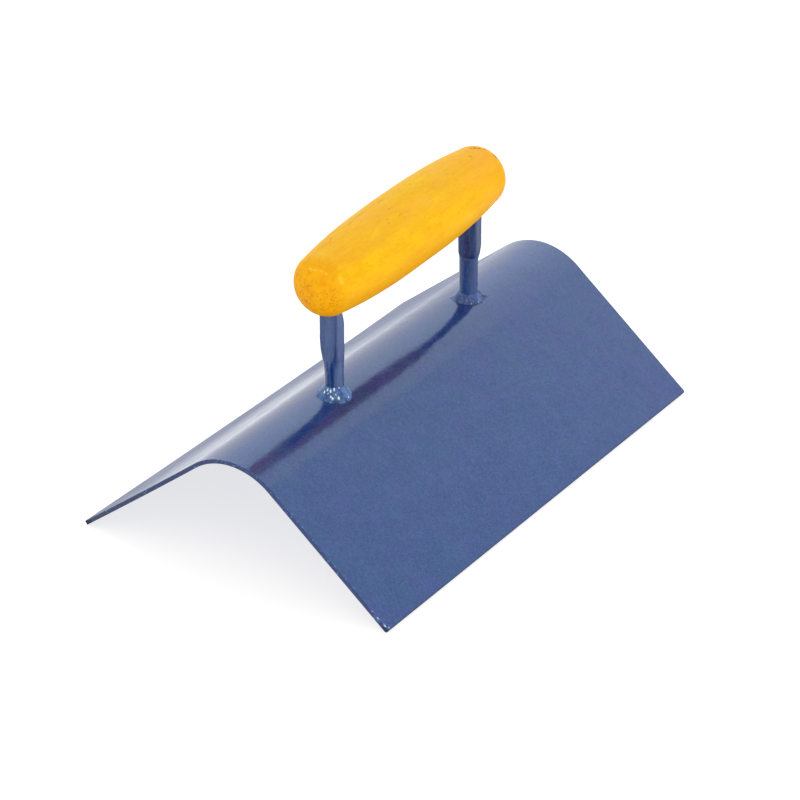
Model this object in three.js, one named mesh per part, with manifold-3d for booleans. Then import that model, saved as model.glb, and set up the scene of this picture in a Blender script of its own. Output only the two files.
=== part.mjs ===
// Concrete edger (external corner tool): a bent steel blade, two forged steel
// posts welded upright on its ridge, and a turned wooden handle that is bored
// for the flattened tops of the posts and bedded on them with adhesive.
//
// Millimetres, +Z up. +X runs along the ridge, +Y and -Y are the two wings.
// The origin is the centre of the footprint, on the plane that the two long
// edges of the blade stand on.

import * as THREE from 'three';
import { mergeVertices } from 'three/addons/utils/BufferGeometryUtils.js';
import Module from 'manifold-3d';

const wasm = await Module();
wasm.setup();

// ---------------------------------------------------------------- dimensions

// blade: one 2 mm sheet, bent once, seen end-on as a rounded ridge and two wings
const BLADE_LENGTH = 250;          // along the ridge
const SHEET = 2;                   // sheet thickness
const INCLUDED_ANGLE = 101.6;      // between the two wings, degrees
const BEND_OUTER_RADIUS = 32;      // outside radius of the ridge
const WING = 103;                  // sharp outer apex (before rounding) to wing edge
const CORNER_RADIUS = 1;           // the four corners of the sheet, in plan
const ARC_STEPS = 28;              // facets round the ridge

// posts: round bar, 8.5 mm over the paint, forged flat above the shoulder
const POST_RADIUS = 4.25;
const POST_Y = -1.7;               // both posts stand a little off the crown
const TANG_DEPTH = 21;             // how far a post runs up into the handle
const FRONT_POST = {
  x: -50.8, shoulder: 9, flat: 28.5,
  halfX: 3.2, halfY: 4.65, shiftX: -0.7, shiftY: 0.5,
};
const REAR_POST = {
  x: 57.2, shoulder: 18, flat: 29.5,
  halfX: 2.95, halfY: 4.7, shiftX: 0, shiftY: -0.5,
};
const FORGED_CORNER = 1;           // corner radius of the flattened section
const POST_SIDES = 40;

// weld beads round the feet of the posts
const WELD_RADIUS = 8;
const WELD_HEIGHT = 5.2;

// handle: turned barrel with rounded ends, its axis along the ridge
const HANDLE_X = 2.44;
const HANDLE_Y = -1.72;
const HANDLE_ABOVE_APEX = 48.7;    // axis above the sharp outer apex
const HANDLE_PITCH = 1.53;         // degrees, the +X end sits higher
const HANDLE_MID_RADIUS = 17.67;
const HANDLE_SHOULDER_RADIUS = 14.48;
const HANDLE_SHOULDER_X = 59.35;   // middle to where the end rounding starts
const HANDLE_SWELL = 2.79;         // exponent of the barrel curve
const HANDLE_END_RADIUS = 10.3;    // rounding of the end
const HANDLE_END_ANGLE = 22;       // where the rounding runs into the flat dome
const HANDLE_SIDES = 56;

// bores in the handle, and the adhesive round the tangs
const BORE_RADIUS = 5.9;
const BORE_SPARE = 2;              // bore beyond the end of the tang
const GAP = 0.3;                   // clearance kept between touching pieces

// ------------------------------------------------------------- derived sizes

const rad = THREE.MathUtils.degToRad;
const SLOPE = rad(90 - INCLUDED_ANGLE / 2);                 // wing below level
const APEX_Z = WING * Math.sin(SLOPE) + SHEET * Math.cos(SLOPE);
const RIDGE_Z = APEX_Z - BEND_OUTER_RADIUS * (1 / Math.cos(SLOPE) - 1);
const BEND_Z = RIDGE_Z - BEND_OUTER_RADIUS;                 // bend axis height
const HANDLE_Z = APEX_Z + HANDLE_ABOVE_APEX;

// ------------------------------------------------------------------- helpers

function solidOf(geometry) {
  const g = geometry.clone();
  g.deleteAttribute('normal');
  if (g.attributes.uv) g.deleteAttribute('uv');
  const merged = mergeVertices(g, 1e-4);
  return new wasm.Manifold(new wasm.Mesh({
    numProp: 3,
    vertProperties: new Float32Array(merged.attributes.position.array),
    triVerts: new Uint32Array(merged.index.array),
  }));
}

function geometryOf(solid) {
  const mesh = solid.getMesh();
  const g = new THREE.BufferGeometry();
  g.setAttribute('position', new THREE.BufferAttribute(new Float32Array(mesh.vertProperties), 3));
  g.setIndex(new THREE.BufferAttribute(new Uint32Array(mesh.triVerts), 1));
  g.computeVertexNormals();
  return g;
}

// a lathe about the vertical axis instead of three's own Y axis
function latheZ(profile, sides) {
  const g = new THREE.LatheGeometry(profile.map(([r, z]) => new THREE.Vector2(r, z)), sides);
  g.rotateX(Math.PI / 2);
  return g;
}

function reshape(geometry, change) {
  const p = geometry.attributes.position;
  const v = new THREE.Vector3();
  for (let i = 0; i < p.count; i += 1) {
    v.fromBufferAttribute(p, i);
    change(v);
    p.setXYZ(i, v.x, v.y, v.z);
  }
  return geometry;
}

const smooth = (t) => {
  const c = Math.min(1, Math.max(0, t));
  return c * c * (3 - 2 * c);
};

function material(color, roughness, metalness) {
  return new THREE.MeshStandardMaterial({ color, roughness, metalness });
}

function part(name, geometry, look, parent) {
  const mesh = new THREE.Mesh(geometry, look);
  mesh.name = name;
  parent.add(mesh);
  return mesh;
}

const BLUE = material(0x56689c, 0.42, 0.25);
const WELD_BLUE = material(0x4d6190, 0.5, 0.3);
const YELLOW = material(0xf6b52b, 0.38, 0);
const ADHESIVE = material(0xb9a57a, 0.6, 0);

// --------------------------------------------------------------------- blade

// a point on the section: radius about the bend axis while it bends, then a
// straight run along the wing; side is -1 or +1
function bladeSection() {
  const outer = [];
  const inner = [];
  const ro = BEND_OUTER_RADIUS;
  const ri = ro - SHEET;
  const run = WING - ro * Math.tan(SLOPE);
  const tip = (r, side) => new THREE.Vector2(
    side * (r * Math.sin(SLOPE) + run * Math.cos(SLOPE)),
    BEND_Z + r * Math.cos(SLOPE) - run * Math.sin(SLOPE),
  );
  outer.push(tip(ro, -1));
  inner.push(tip(ri, -1));
  for (let i = 0; i <= ARC_STEPS; i += 1) {
    const a = -SLOPE + (2 * SLOPE * i) / ARC_STEPS;
    outer.push(new THREE.Vector2(ro * Math.sin(a), BEND_Z + ro * Math.cos(a)));
    inner.push(new THREE.Vector2(ri * Math.sin(a), BEND_Z + ri * Math.cos(a)));
  }
  outer.push(tip(ro, 1));
  inner.push(tip(ri, 1));
  return new THREE.Shape(inner.concat(outer.reverse()));
}

// the waste outside one rounded corner of the sheet, as a prism through it
function cornerWaste() {
  const r = CORNER_RADIUS;
  const s = new THREE.Shape();
  s.moveTo(r + 1, r + 1);
  s.lineTo(-0.001, r + 1);
  s.lineTo(-0.001, r);
  for (let i = 0; i <= 6; i += 1) {
    const a = Math.PI / 2 - (i / 6) * (Math.PI / 2);
    s.lineTo(r * Math.cos(a), r * Math.sin(a));
  }
  s.lineTo(r, -0.001);
  s.lineTo(r + 1, -0.001);
  s.closePath();
  const g = new THREE.ExtrudeGeometry(s, { depth: 8, bevelEnabled: false });
  g.translate(-r, -r, -4);
  return g;
}

function makeBlade() {
  const g = new THREE.ExtrudeGeometry(bladeSection(), { depth: BLADE_LENGTH, bevelEnabled: false });
  // section x -> world Y, section y -> world Z, depth -> world X
  const toWorld = new THREE.Matrix4().makeBasis(
    new THREE.Vector3(0, 1, 0), new THREE.Vector3(0, 0, 1), new THREE.Vector3(1, 0, 0),
  );
  g.applyMatrix4(toWorld);
  g.translate(-BLADE_LENGTH / 2, 0, 0);
  let solid = solidOf(g);
  const edgeY = WING * Math.cos(SLOPE);
  const edgeZ = APEX_Z - WING * Math.sin(SLOPE);
  for (const end of [-1, 1]) {
    for (const side of [-1, 1]) {
      // corner frame: u along the ridge outwards, v down the wing, w out of the sheet
      const u = new THREE.Vector3(end, 0, 0);
      const v = new THREE.Vector3(0, side * Math.cos(SLOPE), -Math.sin(SLOPE));
      const w = new THREE.Vector3().crossVectors(u, v);
      const m = new THREE.Matrix4().makeBasis(u, v, w);
      m.setPosition(end * BLADE_LENGTH / 2, side * edgeY, edgeZ);
      const cut = cornerWaste();
      cut.applyMatrix4(m);
      solid = solid.subtract(solidOf(cut));
    }
  }
  return geometryOf(solid);
}

// ---------------------------------------------------------------- handle form

function handleProfile() {
  const points = [];
  const re = HANDLE_END_RADIUS;
  const rs = HANDLE_SHOULDER_RADIUS;
  const aEnd = rad(HANDLE_END_ANGLE);
  const rimR = rs - re + re * Math.sin(aEnd);
  const rimX = HANDLE_SHOULDER_X + re * Math.cos(aEnd);
  const domeR = rimR / Math.sin(aEnd);
  for (let i = 0; i <= 4; i += 1) {                 // flat dome, from the axis
    const a = (i / 4) * aEnd;
    points.push([domeR * Math.sin(a), rimX + domeR * (Math.cos(a) - Math.cos(aEnd))]);
  }
  for (let i = 1; i <= 7; i += 1) {                 // end rounding
    const a = aEnd + (i / 7) * (Math.PI / 2 - aEnd);
    points.push([rs - re + re * Math.sin(a), HANDLE_SHOULDER_X + re * Math.cos(a)]);
  }
  const steps = 9;
  for (let i = steps - 1; i >= 0; i -= 1) {         // barrel to the middle
    const s = (i / steps) * HANDLE_SHOULDER_X;
    points.push([barrelRadius(s), s]);
  }
  points[0][0] = 0;
  const other = points.slice(0, -1).reverse().map(([r, s]) => [r, -s]);
  // the list runs from the -X pole to the +X pole
  return points.concat(other).reverse();
}

function barrelRadius(s) {
  const drop = HANDLE_MID_RADIUS - HANDLE_SHOULDER_RADIUS;
  return HANDLE_MID_RADIUS - drop * (Math.abs(s) / HANDLE_SHOULDER_X) ** HANDLE_SWELL;
}

// the handle's own frame in the object's frame
const handleFrame = new THREE.Object3D();
handleFrame.position.set(HANDLE_X, HANDLE_Y, HANDLE_Z);
handleFrame.rotation.set(0, -rad(HANDLE_PITCH), 0);
handleFrame.updateMatrixWorld(true);

// height of the handle's underside where a post meets it
function undersideAt(x) {
  const s = (x - HANDLE_X) / Math.cos(rad(HANDLE_PITCH));
  return HANDLE_Z + s * Math.sin(rad(HANDLE_PITCH)) - barrelRadius(s);
}

function boreTop(post) {
  return undersideAt(post.x) + TANG_DEPTH + BORE_SPARE;
}

function makeHandle() {
  const g = latheZ(handleProfile(), HANDLE_SIDES);
  g.rotateY(Math.PI / 2);                            // axis Z -> +X
  let solid = solidOf(g);
  const inverse = handleFrame.matrixWorld.clone().invert();
  for (const post of [FRONT_POST, REAR_POST]) {
    const low = undersideAt(post.x) - 6;
    const high = boreTop(post);
    const bore = latheZ([[0, low], [BORE_RADIUS, low], [BORE_RADIUS, high - 2], [0, high]], 40);
    bore.translate(post.x, POST_Y, 0);
    bore.applyMatrix4(inverse);
    solid = solid.subtract(solidOf(bore));
  }
  return geometryOf(solid);
}

// --------------------------------------------------------------------- posts

// the ridge as a round bar, a little oversize: what a foot is cut to
function ridgeCutter(extra) {
  const g = new THREE.CylinderGeometry(BEND_OUTER_RADIUS + extra, BEND_OUTER_RADIUS + extra, 60, 160);
  g.rotateZ(Math.PI / 2);
  g.translate(0, -POST_Y, -BEND_OUTER_RADIUS);
  return solidOf(g);
}

// reach of the forged section in direction a, for half sizes hx and hy
function forgedReach(a, hx, hy, corner) {
  const c = Math.abs(Math.cos(a));
  const s = Math.abs(Math.sin(a));
  if (s * hx <= c * (hy - corner)) return hx / c;
  if (c * hy <= s * (hx - corner)) return hy / s;
  const cx = hx - corner;
  const cy = hy - corner;
  const along = c * cx + s * cy;
  return along + Math.sqrt(along * along - cx * cx - cy * cy + corner * corner);
}

// section of a post at height z above the ridge, grown by extra all round
function postSection(post, z, a, extra) {
  const t = smooth((z - post.shoulder) / (post.flat - post.shoulder));
  const length = undersideAt(post.x) - RIDGE_Z;
  const taper = 1 - 0.1 * smooth((z - length + 4) / (TANG_DEPTH + 4));
  const flat = forgedReach(a, post.halfX * taper + extra, post.halfY * taper + extra,
    FORGED_CORNER + extra);
  const r = (POST_RADIUS + extra) * (1 - t) + flat * t;
  return [r * Math.cos(a) + post.shiftX * t, r * Math.sin(a) + post.shiftY * t];
}

function postBody(post, bottom, top, extra) {
  const heights = [bottom];
  const marks = [post.shoulder, post.shoulder + 0.25 * (post.flat - post.shoulder),
    post.shoulder + 0.5 * (post.flat - post.shoulder),
    post.shoulder + 0.75 * (post.flat - post.shoulder), post.flat];
  const length = undersideAt(post.x) - RIDGE_Z;
  marks.push(length - 4, length + TANG_DEPTH * 0.35, length + TANG_DEPTH * 0.7);
  for (const z of marks) if (z > bottom + 0.5 && z < top - 1.6) heights.push(z);
  heights.push(top - 1.2, top);
  const profile = [[0, bottom]];
  for (const z of heights) profile.push([1, z]);
  profile.push([0, top]);
  const g = latheZ(profile, POST_SIDES);
  return reshape(g, (v) => {
    if (Math.hypot(v.x, v.y) < 0.5) {
      const t = smooth((v.z - post.shoulder) / (post.flat - post.shoulder));
      v.x = post.shiftX * t;
      v.y = post.shiftY * t;
      return;
    }
    const a = Math.atan2(v.y, v.x);
    const [x, y] = postSection(post, v.z, a, extra);
    const blunt = v.z > top - 0.6 ? 0.82 : 1;       // chamfered tip of the tang
    v.x = x * blunt;
    v.y = y * blunt;
  });
}

function makePost(post) {
  const top = undersideAt(post.x) + TANG_DEPTH - RIDGE_Z;
  return geometryOf(solidOf(postBody(post, -3, top, 0)).subtract(ridgeCutter(GAP)));
}

// --------------------------------------------------------------------- welds

function makeWeld(phase) {
  const ri = POST_RADIUS + GAP;
  const profile = [
    [ri, -4], [WELD_RADIUS, -4], [WELD_RADIUS, -0.9], [WELD_RADIUS - 0.6, 0.2],
    [WELD_RADIUS - 1.7, 1.2], [WELD_RADIUS - 2.5, 2.4], [ri + 0.45, WELD_HEIGHT - 1],
    [ri + 0.15, WELD_HEIGHT], [ri, WELD_HEIGHT], [ri, -4],
  ];
  const g = latheZ(profile, 44);
  reshape(g, (v) => {
    const r = Math.hypot(v.x, v.y);
    const a = Math.atan2(v.y, v.x);
    const lump = 0.09 * Math.sin(3 * a + phase) + 0.06 * Math.sin(7 * a + 2 * phase)
      + 0.035 * Math.sin(11 * a + 3 * phase);
    const grown = ri + (r - ri) * (1 + lump);
    v.x *= grown / r;
    v.y *= grown / r;
    if (v.z > 0) v.z *= 1 + 0.8 * lump;
  });
  return geometryOf(solidOf(g).subtract(ridgeCutter(GAP)));
}

// ------------------------------------------------------------------ adhesive

function makeAdhesive(post) {
  const low = undersideAt(post.x) + 1.6 - RIDGE_Z;
  const high = boreTop(post) - 2 - RIDGE_Z - GAP;
  const r = BORE_RADIUS - GAP;
  const fill = latheZ([[0, low], [r, low], [r, high], [0, high]], 40);
  const tang = postBody(post, low - 3, undersideAt(post.x) + TANG_DEPTH - RIDGE_Z + GAP, GAP);
  return geometryOf(solidOf(fill).subtract(solidOf(tang)));
}

// ------------------------------------------------------------------ assembly

const edger = new THREE.Group();
edger.name = 'concrete_edger';

part('blade', makeBlade(), BLUE, edger);

for (const [label, post, phase] of [['front', FRONT_POST, 0.4], ['rear', REAR_POST, 2.1]]) {
  const stand = new THREE.Group();
  stand.position.set(post.x, POST_Y, RIDGE_Z);
  edger.add(stand);
  part(`${label}_post`, makePost(post), BLUE, stand);
  part(`${label}_weld`, makeWeld(phase), WELD_BLUE, stand);
  part(`${label}_tang_adhesive`, makeAdhesive(post), ADHESIVE, stand);
}

const handle = part('handle', makeHandle(), YELLOW, edger);
handle.position.copy(handleFrame.position);
handle.rotation.copy(handleFrame.rotation);

export default edger;
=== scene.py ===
# Looks of the concrete edger: blade, posts, weld beads, adhesive and handle, built in metres in the CAD frame.
import math

import bmesh
import bpy
import numpy as np
from mathutils import Matrix, Vector, noise


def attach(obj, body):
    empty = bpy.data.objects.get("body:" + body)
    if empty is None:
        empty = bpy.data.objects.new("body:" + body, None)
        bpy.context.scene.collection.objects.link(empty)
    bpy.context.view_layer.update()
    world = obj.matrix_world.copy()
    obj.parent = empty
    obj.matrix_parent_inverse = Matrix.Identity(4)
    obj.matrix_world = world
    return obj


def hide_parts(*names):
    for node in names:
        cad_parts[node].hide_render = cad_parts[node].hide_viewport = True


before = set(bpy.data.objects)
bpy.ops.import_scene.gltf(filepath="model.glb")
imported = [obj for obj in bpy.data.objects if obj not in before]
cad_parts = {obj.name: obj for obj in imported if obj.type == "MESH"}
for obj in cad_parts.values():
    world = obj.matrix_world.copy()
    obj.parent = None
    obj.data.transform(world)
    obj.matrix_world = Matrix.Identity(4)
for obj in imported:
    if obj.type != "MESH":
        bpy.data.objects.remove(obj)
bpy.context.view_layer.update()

# ------------------------------------------------------------------ dimensions (mm), as in the CAD
BLADE_LENGTH, SHEET, WING, RO = 250.0, 2.0, 103.0, 32.0
SLOPE = math.radians(90 - 101.6 / 2)
APEX_Z = WING * math.sin(SLOPE) + SHEET * math.cos(SLOPE)
RIDGE_Z = APEX_Z - RO * (1 / math.cos(SLOPE) - 1)
BEND_Z = RIDGE_Z - RO
POST_R, POST_Y, TANG = 4.25, -1.7, 21.0
FRONT = dict(x=-50.8, shoulder=9.0, flat=28.5, hx=3.2, hy=4.65, sx=-0.7, sy=0.5, lip=14.2)
REAR = dict(x=57.2, shoulder=18.0, flat=29.5, hx=2.95, hy=4.7, sx=0.0, sy=-0.5, lip=21.9)
HX, HY, HZ, PITCH = 2.44, -1.72, APEX_Z + 48.7, math.radians(1.53)
H_MID, H_SH, H_SHX, H_SWELL, H_END, H_ANG = 17.67, 14.48, 59.35, 2.79, 10.3, math.radians(22)
BORE_R = 5.9
MM = 0.001


def smooth(t):
    t = np.clip(t, 0, 1)
    return t * t * (3 - 2 * t)


# ------------------------------------------------------------------ camera
def make_camera():
    az, el, roll = (math.radians(v) for v in (-56.40, 29.10, 0.14))
    dist, f, tx, ty = 1634.0, 3666.0, -4.3, 71.9
    back = Vector((math.sin(az) * math.cos(el), -math.cos(az) * math.cos(el), math.sin(el)))
    right = (-back).cross(Vector((0, 0, 1))).normalized()
    up = right.cross(-back)
    r2 = right * math.cos(roll) + up * math.sin(roll)
    u2 = -right * math.sin(roll) + up * math.cos(roll)
    place = back * dist - r2 * (tx * dist / f) - u2 * (ty * dist / f) + Vector((0, 0, APEX_Z))
    data = bpy.data.cameras.new("camera")
    data.sensor_fit, data.sensor_width = "HORIZONTAL", 36.0
    data.lens = f / 800 * 36
    data.clip_start, data.clip_end = 0.05, 60
    cam = bpy.data.objects.new("camera", data)
    cam.matrix_world = Matrix((
        (r2.x, u2.x, back.x, place.x * MM), (r2.y, u2.y, back.y, place.y * MM),
        (r2.z, u2.z, back.z, place.z * MM), (0, 0, 0, 1)))
    bpy.context.scene.collection.objects.link(cam)
    bpy.context.scene.camera = cam


make_camera()


# ------------------------------------------------------------------ mesh helpers
def new_object(name, verts, faces, attrs=None, sharp=None):
    me = bpy.data.meshes.new(name)
    me.from_pydata([tuple(v) for v in np.asarray(verts) * MM], [], [tuple(int(i) for i in f) for f in faces])
    me.validate()
    for key, values in (attrs or {}).items():
        layer = me.attributes.new(key, "FLOAT", "POINT")
        layer.data.foreach_set("value", np.asarray(values, np.float32))
    bm = bmesh.new()
    bm.from_mesh(me)
    bmesh.ops.recalc_face_normals(bm, faces=bm.faces)
    bm.to_mesh(me)
    bm.free()
    me.shade_smooth()
    if sharp:
        me.set_sharp_from_angle(angle=math.radians(sharp))
    ob = bpy.data.objects.new(name, me)
    bpy.context.scene.collection.objects.link(ob)
    return ob


def fbm(p, scale, octaves=3, seed=0.0):
    q = Vector((p[0] * scale + seed, p[1] * scale + seed * 1.7, p[2] * scale - seed))
    return noise.fractal(q, 1.0, 2.0, octaves)


def ring_faces(a, b, n):
    return [(a + i, a + (i + 1) % n, b + (i + 1) % n, b + i) for i in range(n)]


# ------------------------------------------------------------------ blade
S_BEND = RO * SLOPE
RUN = WING - RO * math.tan(SLOPE)
S_MAX = S_BEND + RUN
BOW = np.polyfit([-125, -80, -47, 0, 50, 90, 125], [0.5, 0.33, 0.18, -0.1, -0.3, -0.22, 0.02], 3)


DENTS = [(37.8, -28.4, 1.5, 0.05), (-60.7, -0.2, 0.9, 0.05), (12.0, -62.0, 2.6, 0.03), (88.0, -51.0, 2.0, 0.03)]


def sheet_point(s, x, w):
    """Outer-surface arc length s, place x along the ridge, depth w into the sheet."""
    s, x, w = (np.asarray(v, float) for v in (s, x, w))
    # hand-sheared blank: the +Y wing runs about a millimetre long at the -X end, and the +X end is cut slightly round
    q = np.clip((np.abs(s) - S_BEND) / RUN, 0, 1)
    near = np.clip((-60 - x) / 65, 0, 1)
    s = s + np.where(s > 0, 1.0 * q * near ** 1.5, 0)
    x = x + 0.6 * smooth((x - 90) / 35) * smooth((30 + s) / 34) - 0.35 * np.clip((-90 - x) / 35, 0, 1) * q * (s > 0)
    a = np.clip(s / RO, -SLOPE, SLOPE)
    rest = s - a * RO
    y = (RO - w) * np.sin(a) + rest * math.cos(SLOPE)
    z = BEND_Z + (RO - w) * np.cos(a) - np.abs(rest) * math.sin(SLOPE)
    q = np.clip((s - S_BEND) / RUN, 0, 1)
    d = q ** 2 * (np.polyval(BOW, x) + 0.3 * near ** 1.5)
    # a press brake leaves the two bend lines and the wings very slightly wavy
    d = d + 0.05 * np.sin(x / 31 + 0.8) * smooth(1 - np.abs(np.abs(s) - S_BEND) / 26)
    d = d + 0.04 * np.sin(x / 47 + 2.0) * np.sin(s / 23 + 0.6) * smooth((8 - np.minimum(125 - np.abs(x), S_MAX - np.abs(s))) / -8 + 1)
    # two small knocks in the sheet
    for kx, ks, kr, kd in DENTS:
        d = d - kd * np.exp(-((x - kx) ** 2 + (s - ks) ** 2) / kr ** 2)
    return np.stack([x, y + d * np.sin(a), z + d * np.cos(a)], -1)


def make_blade():
    b, r = 0.3, 1.0
    hs, hl = S_MAX - b, BLADE_LENGTH / 2 - b
    inset = np.array([0, 0.23, 0.47, 0.7, 1.4, 2.6, 4.4])
    arc = np.linspace(-S_BEND, S_BEND, 57)
    wing = np.linspace(S_BEND, hs - 4.4, 22)
    s_pos = np.concatenate([wing[1:-1], (hs - inset)[::-1]])
    s_lines = np.concatenate([-s_pos[::-1], arc, s_pos])
    mid = np.linspace(-(hl - 4.4), hl - 4.4, 101)
    x_lines = np.concatenate([-hl + inset, mid[1:-1], (hl - inset)[::-1]])
    ns, nx = len(s_lines), len(x_lines)
    S, X = np.meshgrid(s_lines, x_lines, indexing="ij")
    rc = r - b
    cs, cx = hs - rc, hl - rc
    u, v = (np.abs(S) - cs) / rc, (np.abs(X) - cx) / rc
    corner = (u > 0) & (v > 0)
    with np.errstate(all="ignore"):
        k = np.maximum(u, v) / np.hypot(u, v)
    S = np.where(corner, np.sign(S) * (cs + u * k * rc), S)
    X = np.where(corner, np.sign(X) * (cx + v * k * rc), X)
    per = ([(i, 0) for i in range(ns)] + [(ns - 1, j) for j in range(1, nx)]
           + [(i, nx - 1) for i in range(ns - 2, -1, -1)] + [(0, j) for j in range(nx - 2, 0, -1)])
    normal = []
    for i, j in per:
        du, dv = abs(S[i, j]) - cs, abs(X[i, j]) - cx
        if du > 1e-9 and dv > 1e-9:
            n = np.array([math.copysign(du, S[i, j]), math.copysign(dv, X[i, j])])
            n /= np.linalg.norm(n)
        elif j in (0, nx - 1):
            n = np.array([0.0, -1.0 if j == 0 else 1.0])
        else:
            n = np.array([-1.0 if i == 0 else 1.0, 0.0])
        normal.append(n)
    normal = np.array(normal)
    P0 = np.array([(S[i, j], X[i, j]) for i, j in per])
    verts = [sheet_point(S.ravel(), X.ravel(), np.zeros(S.size)), sheet_point(S.ravel(), X.ravel(), np.full(S.size, SHEET))]
    dist = np.minimum(hs - np.abs(S), hl - np.abs(X)).ravel() + b
    rim = [np.exp(-dist / 0.7), np.exp(-dist / 0.7)]
    endy = [np.zeros(S.size), np.zeros(S.size)]
    rings = []
    count = 2 * S.size
    steps = [(b * math.sin(t), b * (1 - math.cos(t))) for t in np.linspace(0, math.pi / 2, 6)[1:]]
    steps += [(b, b + (SHEET - 2 * b) * t) for t in (1 / 3, 2 / 3)]
    steps += [(b * math.cos(t), SHEET - b * (1 - math.sin(t))) for t in np.linspace(0, math.pi / 2, 6)[:-1]]
    for out, w in steps:
        p = P0 + normal * out
        verts.append(sheet_point(p[:, 0], p[:, 1], np.full(len(p), w)))
        rim.append(np.ones(len(p)))
        endy.append(np.full(len(p), 1.0 if b < w < SHEET - b else 0.5))
        rings.append(count)
        count += len(p)
    idx = lambda i, j, o: o + i * nx + j
    faces = []
    for i in range(ns - 1):
        for j in range(nx - 1):
            faces.append((idx(i, j, 0), idx(i + 1, j, 0), idx(i + 1, j + 1, 0), idx(i, j + 1, 0)))
            o = S.size
            faces.append((idx(i, j, o), idx(i, j + 1, o), idx(i + 1, j + 1, o), idx(i + 1, j, o)))
    n = len(per)
    top = [idx(i, j, 0) for i, j in per]
    low = [idx(i, j, S.size) for i, j in per]
    loops = [top] + [[r0 + k for k in range(n)] for r0 in rings] + [low]
    for a, c in zip(loops[:-1], loops[1:]):
        for k in range(n):
            faces.append((a[k], a[(k + 1) % n], c[(k + 1) % n], c[k]))
    return new_object("blade_sheet", np.concatenate(verts), faces,
                      {"rim": np.concatenate(rim), "cut": np.concatenate(endy)})


# ------------------------------------------------------------------ posts
def reach(a, hx, hy, rc):
    c, s = abs(math.cos(a)), abs(math.sin(a))
    if s * hx <= c * (hy - rc):
        return hx / max(c, 1e-9)
    if c * hy <= s * (hx - rc):
        return hy / max(s, 1e-9)
    cx, cy = hx - rc, hy - rc
    along = c * cx + s * cy
    return along + math.sqrt(max(along * along - cx * cx - cy * cy + rc * rc, 0))


def barrel(s):
    return H_MID - (H_MID - H_SH) * (abs(s) / H_SHX) ** H_SWELL


def underside(x):
    s = (x - HX) / math.cos(PITCH)
    return HZ + s * math.sin(PITCH) - barrel(s)


def ridge_drop(y):
    """How far the outer surface lies below the crown at y."""
    return RO - math.sqrt(max(RO * RO - y * y, 0))


def bell(v, centre, width):
    d = (v - centre + 180) % 360 - 180
    return math.exp(-((d / width) ** 2))


def make_post(name, post, seed, lip, onset, look, waist=0.0):
    """look(angle in degrees, height, length) gives two amounts there: how much painted highlight, sheen and reflection
    the lacquer gets, and how much painted shade, dark reflection and dark marking.
    """
    length = underside(post["x"]) - RIDGE_Z
    top = length + TANG
    zs = np.concatenate([np.linspace(0, post["shoulder"] - 1, 22), np.linspace(post["shoulder"], post["flat"] + 1, 62),
                         np.linspace(post["flat"] + 2, length, 24), np.linspace(length + 1.5, top - 1.0, 9), [top - 0.5, top - 0.15, top]])
    n = 128
    verts, faces, feel, light, dark = [], [], [], [], []
    for k, z in enumerate(zs):
        t = float(smooth((z - post["shoulder"]) / (post["flat"] - post["shoulder"])))
        tf = float(smooth((z - post["lip"]) / onset)) * 0.55 + 0.45 * t      # the faces themselves start more suddenly
        hx = POST_R + (post["hx"] - POST_R) * tf
        hy = POST_R + (post["hy"] - POST_R) * t
        rc = POST_R + (0.75 - POST_R) * tf ** 0.8
        rc = min(rc, hx - 0.02, hy - 0.02)
        taper = 1 - 0.1 * float(smooth((z - length + 4) / (TANG + 4)))
        blunt = 1 - 0.18 * max(0, (z - top + 0.5) / 0.5) ** 2
        for i in range(n):
            a = 2 * math.pi * i / n
            deg = 360 * i / n
            r = reach(a, hx * taper, hy * taper, rc * taper) * blunt
            p = (math.cos(a) * 9, math.sin(a) * 9, z)
            r += 0.05 * fbm(p, 0.22, 2, seed) + 0.085 * t * fbm(p, 0.12, 2, seed + 5)
            # shallow hammer marks on the forged part, faint draw lines on the round part
            r += 0.035 * fbm(p, 0.42, 2, seed + 11)
            r += 0.03 * (1 - tf) * fbm((p[0], p[1], z * 0.12), 0.8, 2, seed + 7)
            # forging lip where the flat face starts, on the face towards -X
            face = math.exp(-((math.cos(a) + 1) / 0.16) ** 2)
            r += lip * face * math.exp(-((z - post["lip"] + 0.2) / 0.5) ** 2)
            # the +X, -Y side narrows just below the handle
            r -= waist * float(smooth((z - length + 7.5) / 7.5)) * bell(deg, 304, 48)
            x = r * math.cos(a) + post["sx"] * t
            y = r * math.sin(a) + post["sy"] * t
            zz = z
            if k == 0:
                zz = -ridge_drop(y + POST_Y) - 0.4
            elif z < 3:
                zz = z - ridge_drop(y + POST_Y) * (1 - z / 3)
            verts.append((post["x"] + x, POST_Y + y, RIDGE_Z + zz))
            feel.append(tf)
            li, da = look(deg, z, length)
            light.append(li)
            dark.append(da)
    for k in range(len(zs) - 1):
        faces += ring_faces(k * n, (k + 1) * n, n)
    faces.append(tuple(range(n))[::-1])
    last = (len(zs) - 1) * n
    faces.append(tuple(range(last, last + n)))
    return new_object(name, verts, faces, {"forged": feel, "light": light, "dark": dark}, sharp=50)


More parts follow.
